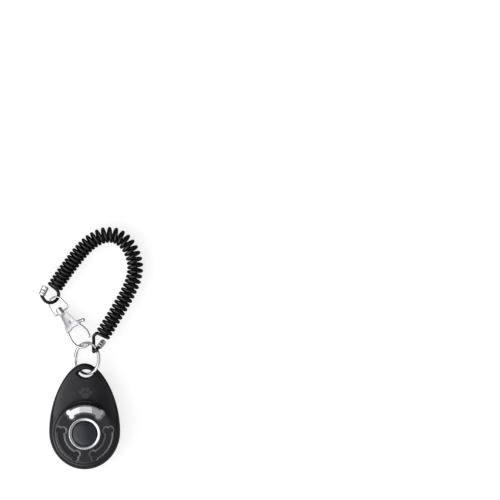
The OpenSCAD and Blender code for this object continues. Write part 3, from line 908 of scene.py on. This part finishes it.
# %% Build the back shell
back_levels = [parting * (k / 28) ** 1.6 for k in range(29)]
bm = skin([egg_ring(*shrunk(back_size(0), 0.6), 0)]
          + [egg_ring(*back_size(min(z, parting - 0.12)), min(z, parting - 0.12)) for z in back_levels]
          + [egg_ring(*shrunk(back_size(parting), 0.18), parting - 0.01)])
cavity = skin([cavity_ring(back_size(z - wall), z) for z in (wall, 2, 2.6, 3.4, 4.4, 5.6, 7.1)])
bm = combine(bm, cavity, "DIFFERENCE")
for place in boss_places():
    post = lathe([(0, wall - 0.1), (2.3, wall - 0.1), (2.3, 6.95), (0, 6.95)], steps=48, at=place)
    bm = combine(bm, post, "UNION")
pedestal = slab([(-5, 2.3), (5, 2.3), (5, 5.9), (-5, 5.9)], wall - 0.1, 9.7)
bm = combine(bm, pedestal, "UNION")
for place in boss_places():
    well = lathe([(0, -1), (2.15, -1), (2.15, 0), (1.9, 0.25), (1.9, 2.3), (1.1, 2.3), (1.1, 8), (0, 8)],
                 steps=48, at=place)
    bm = combine(bm, well, "DIFFERENCE")
for side in (-3, 3):
    bm = combine(bm, lathe([(0, 4), (0.8, 4), (0.8, 10), (0, 10)], steps=24, at=(side, 4, 0)), "DIFFERENCE")
bm = combine(bm, lanyard_cutter(), "DIFFERENCE")
finish_mesh("back_case", bm, "case", case_finish, ["back_shell"])

# %% [markdown]
# ## Bright ring and button
# Both are round, so both are lathed. The ring's face slopes inwards to the button,
# with soft shoulders. The button is a low dome over a flange and a stem.

# %% Make the bright ring and the button
bm = lathe([(7.95, 14.7), (9.7, 14.7), (9.7, 15.9), (9.67, 16.14),
            (9.58, 16.31), (9.42, 16.39), (9.24, 16.38),
            (8.9, 16.29), (8.5, 16.18), (8.18, 16.08), (8.02, 15.98), (7.95, 15.8)],
           steps=192, at=axis)
finish_mesh("bright_ring", bm, "case", bezel_finish, ["bezel_ring"])

cap_radius, cap_edge, cap_rise = 7.2, 16.7, 1.3
dome_radius = (cap_radius ** 2 + cap_rise ** 2) / (2 * cap_rise)
dome = [(r, cap_edge + cap_rise - dome_radius + math.sqrt(dome_radius ** 2 - r * r))
        for r in (cap_radius * k / 16 for k in range(16))]
stem = [(1.5 * math.cos(t), 11.6 + 1.5 * math.sin(t)) for t in (-math.pi / 2 * k / 8 for k in range(9))]
button_profile = [*dome, (6.95, cap_edge + 0.12), (7.12, cap_edge - 0.02),
                  (7.2, cap_edge - 0.25), (7.2, 13.65),
                  (8.6, 13.65), (8.6, 12.45), (1.5, 12.45), *stem]
bm = lathe(button_profile, steps=160, at=axis)
finish_mesh("push_button", bm, "button", button_finish, ["button"])

# %% [markdown]
# ## Click spring
# A strip of spring steel makes the sound. Its root shows in the upper slot as a
# bright plate, bent along two lines, and its tongue reaches under the button. The
# tongue is pressed with a dimple, which is what snaps over and clicks.

# %% Make the click plate
plate_low = 14.2


def plate_bend(x):
    """How far the plate's face drops at x: two wings fall away from a flat middle."""
    return 0.1 * max(0, -3 - x) + 0.1 * max(0, x - 4.5)


bm = slot_cutter(0, plate_low, grow=0.55, mouth=14.5, flare=0, roof=14.5)
for bend_x in (-3, 4.5):
    bmesh.ops.bisect_plane(bm, geom=bm.verts[:] + bm.edges[:] + bm.faces[:], plane_co=(bend_x, 0, 0),
                           plane_no=(1, 0, 0), dist=1e-4)
for vert in bm.verts:
    vert.co.z -= plate_bend(vert.co.x)
web = slab([(-5, 5.4), (5, 5.4), (5, 5.7), (-5, 5.7)], 9.7, 14.1)
root = slab([(-5, 2.05), (5, 2.05), (5, 5.5), (-5, 5.5)], 9.7, 10)
for side in (-3, 3):
    root = combine(root, lathe([(0, 9), (0.8, 9), (0.8, 11), (0, 11)],
                               steps=24, at=(side, 4, 0)), "DIFFERENCE")
finish_mesh("click_spring_root", pour(bm, web, root), "case", steel_finish,
            ["click_plate"], sharp=4)

# %% Make the tongue
bm = bmesh.new()
bmesh.ops.create_grid(bm, x_segments=36, y_segments=56, size=1)
bmesh.ops.scale(bm, vec=(6, 9.5, 1), verts=bm.verts)
bmesh.ops.translate(bm, vec=(0, -7.5, 9.85), verts=bm.verts)
for vert in bm.verts:
    corner = max(0, -15.4 - vert.co.y) / 1.6
    vert.co.x *= 1 - 0.16 * corner ** 2
    distance = (vert.co - Vector((0.2, -10.5, 9.85))).length / 3.2
    vert.co.z -= 0.12 * math.exp(-distance ** 4) * 0.9
bmesh.ops.solidify(bm, geom=bm.faces[:], thickness=0.16)
finish_mesh("click_tongue_leaf", bm, "tongue", steel_finish, ["click_tongue"])

# %% [markdown]
# ## Screws
# The screws carry over from CAD in shape. A copy of each mesh is merged, so that it
# shades smoothly, and the CAD node itself stays as it is.

# %% Finish the screws
for node_name, finish_name in (("case_screws", "closing_screws"), ("plate_screws", "spring_screws")):
    bm = bmesh.new()
    bm.from_mesh(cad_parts[node_name].data)
    bmesh.ops.scale(bm, vec=(1 / MM, 1 / MM, 1 / MM), verts=bm.verts)
    bmesh.ops.remove_doubles(bm, verts=bm.verts, dist=1e-3)
    bmesh.ops.dissolve_limit(bm, angle_limit=math.radians(1), verts=bm.verts, edges=bm.edges)
    round_edges(bm, 0.08, segments=2)
    finish_mesh(finish_name, bm, "case", screw_finish, [node_name])

# %% [markdown]
# ## Stage and light
# The table is plain and pale. Bright metal shows what is around it and not itself, so
# its look is mostly the sky's. The sky is grey overhead, white in a broad band halfway
# down, and dark near the horizon. It leans brighter to the left, which shades the
# plate's two wings apart, and darker beyond the strap, which deepens the case's slope.
# A Light Path node gives reflected rays a darker table than the camera sees. That
# draws the thin dark line down each side of a wire. One soft box, low on the left, gives the rest.

# %% Lay the table
table_data = bpy.data.meshes.new("table_top")
bm = bmesh.new()
bmesh.ops.create_grid(bm, x_segments=1, y_segments=1, size=6)
bmesh.ops.translate(bm, vec=(0, 0, -0.00005), verts=bm.verts)
bm.to_mesh(table_data)
bm.free()
table_top = bpy.data.objects.new("table_top", table_data)
scene.collection.objects.link(table_top)
material, tree, shader = start_material("pale_table")
cloud = use_group(tree, grain_group, Grains_per_mm=1, Clouds_per_mm=0.01)["Cloud"]
pale = mix_colours(tree, cloud, (0.30, 0.30, 0.30), (0.33, 0.33, 0.33))
shader.inputs["Emission Color"].default_value = (1, 1, 1, 1)
seen_in_gloss = add_node(tree, "LightPath").outputs["Is Glossy Ray"]
tree.links.new(remap(tree, seen_in_gloss, 0, 1, 0.78, 0.06), shader.inputs["Emission Strength"])
tree.links.new(mix_colours(tree, seen_in_gloss, pale, (0.16, 0.16, 0.17)), shader.inputs["Base Color"])
shader.inputs["Roughness"].default_value = 0.9
shader.inputs["Specular IOR Level"].default_value = 0.1
table_data.materials.append(material)

# %% Light the scene
world = bpy.data.worlds.new("studio")
scene.world = world
world.use_nodes = True
tree = world.node_tree
direction = add_node(tree, "TexCoord").outputs["Generated"]
parts = add_node(tree, "SeparateXYZ", {0: direction})
ramp = add_node(tree, "ValToRGB", {"Fac": parts.outputs["Z"]})
stops = ramp.color_ramp
stops.elements[0].position, stops.elements[0].color = 0, (0.08, 0.08, 0.08, 1)
stops.elements[1].position, stops.elements[1].color = 1, (0.56, 0.56, 0.58, 1)
for position, level in ((0.14, 0.12), (0.30, 0.8), (0.50, 1.3), (0.72, 1.1), (0.87, 0.6), (0.95, 0.52)):
    stops.elements.new(position).color = (level, level, level * 1.01, 1)
lean = remap(tree, parts.outputs["X"], -0.22, 0.22, 1.8, 0.4)
far_end = remap(tree, parts.outputs["Y"], 0.32, 0.62, 1, 0.1)
sky = add_node(tree, "VectorMath", {0: ramp.outputs["Color"], "Scale": multiply(tree, lean, far_end)},
               operation="SCALE")
background = tree.nodes["Background"]
tree.links.new(sky.outputs[0], background.inputs["Color"])
background.inputs["Strength"].default_value = 1.1

lamp_place = Vector((-0.75, -0.4, 0.6))
lamp_target = Vector((0, 0.03, 0))
lamp = bpy.data.lights.new("key", "AREA")
lamp.size = 0.5
lamp.energy = 1.2
box_light = bpy.data.objects.new("key", lamp)
box_light.location = lamp_place
box_light.rotation_euler = (lamp_target - lamp_place).to_track_quat("-Z", "Y").to_euler()
box_light.visible_camera = False
scene.collection.objects.link(box_light)
scene.view_settings.view_transform = "Standard"
